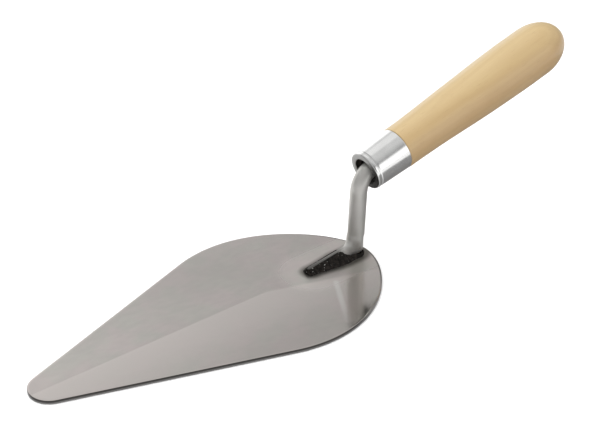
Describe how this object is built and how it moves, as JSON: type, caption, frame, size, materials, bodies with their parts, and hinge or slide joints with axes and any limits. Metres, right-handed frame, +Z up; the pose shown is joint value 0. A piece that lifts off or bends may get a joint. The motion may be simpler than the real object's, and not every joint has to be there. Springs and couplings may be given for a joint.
{
  "type": "brick trowel",
  "caption": "Bricklayer's trowel: a flat rounded-point steel blade, a cranked round shank welded on at the heel, a pressed metal ferrule and a turned wooden handle.",
  "frame": {"origin": "on the plane of the blade's underside, below the middle of the trowel's overall length", "axes": "+X from the blade's tip towards the handle, +Z up, away from the blade's underside, symmetric about Y = 0"},
  "size_m": [0.3344, 0.103, 0.0954],
  "materials": {
    "blade_steel": "fine ground and lightly polished",
    "shank_steel": "satin",
    "weld_metal": "rough, darkened by heat",
    "ferrule_metal": "bright, drawn",
    "handle_wood": "clear varnish"
  },
  "bodies": {
    "root": {"blade": "blade_steel", "shank": "shank_steel", "weld_bead": "weld_metal", "ferrule": "ferrule_metal", "handle": "handle_wood"}
  },
  "joints": []
}
